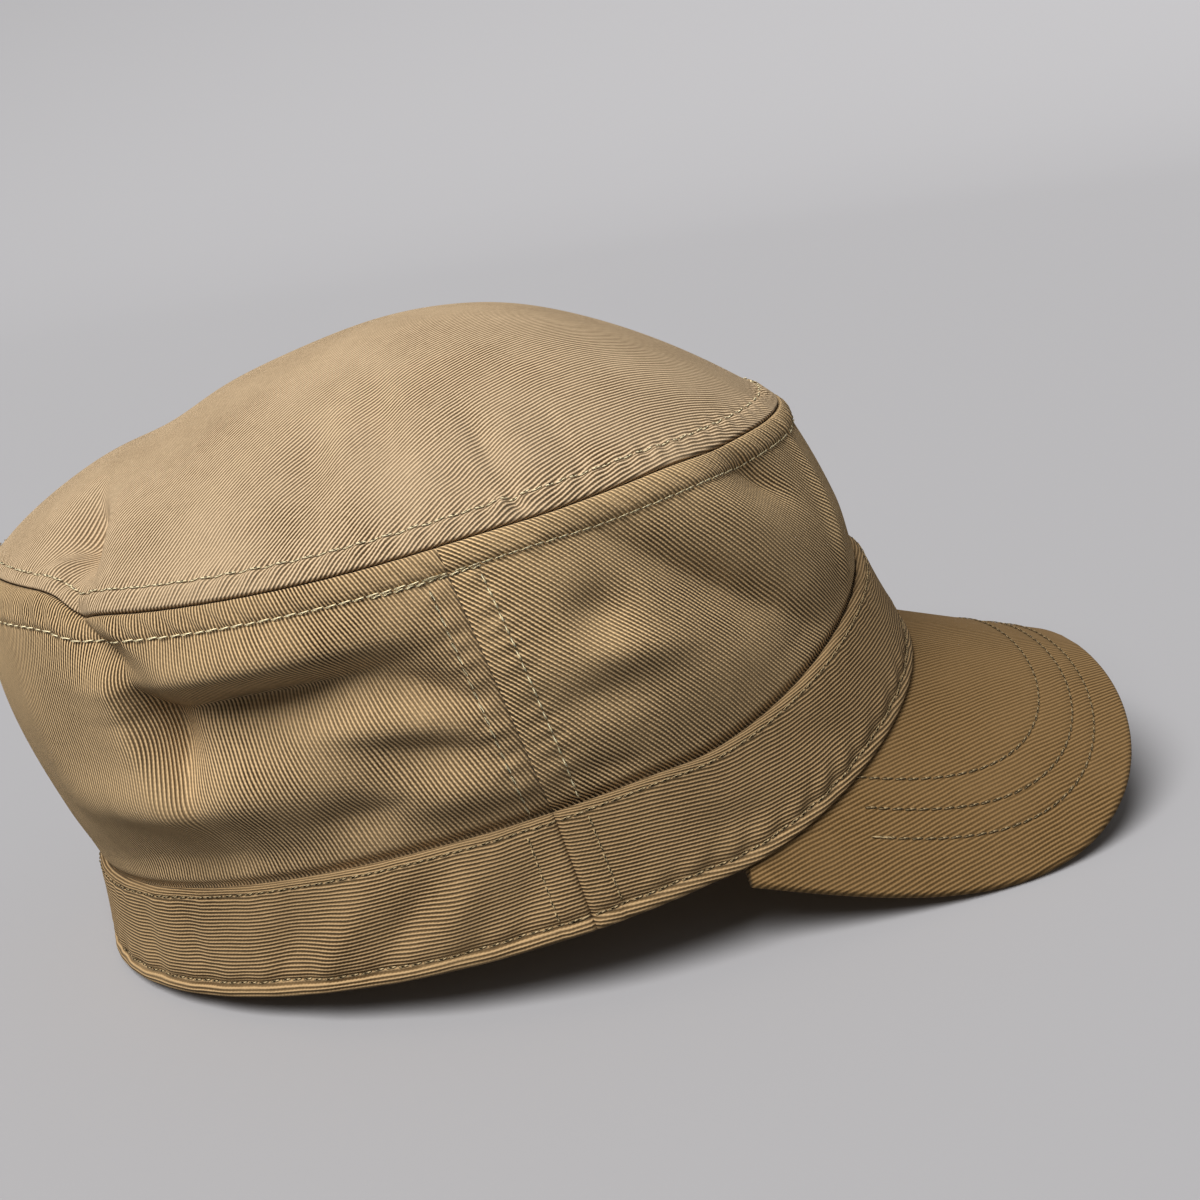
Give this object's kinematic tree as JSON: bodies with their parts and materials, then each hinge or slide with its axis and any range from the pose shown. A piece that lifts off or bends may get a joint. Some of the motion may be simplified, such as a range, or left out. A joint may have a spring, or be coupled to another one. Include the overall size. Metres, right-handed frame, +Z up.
{
  "type": "army cap",
  "caption": "Cotton twill army cap with a domed oval top, upright side panels, a sewn headband and a curved stiff peak, shown with soft wear folds.",
  "frame": {"origin": "centre of the cap's bounding box in plan, at the surface that it rests on", "axes": "+Z up, the peak points towards -Y, the wearer's right side is towards -X"},
  "size_m": [0.1676, 0.255, 0.1322],
  "materials": {
    "crown_cloth": "washed khaki cotton twill",
    "band_cloth": "washed khaki cotton twill, wales along the band",
    "peak_cloth": "khaki cotton twill over a stiff core"
  },
  "bodies": {
    "root": {"crown_top": "crown_cloth", "crown_side_front": "crown_cloth", "crown_side_back": "crown_cloth", "band_front": "band_cloth", "band_back": "band_cloth", "peak": "peak_cloth"}
  },
  "joints": []
}
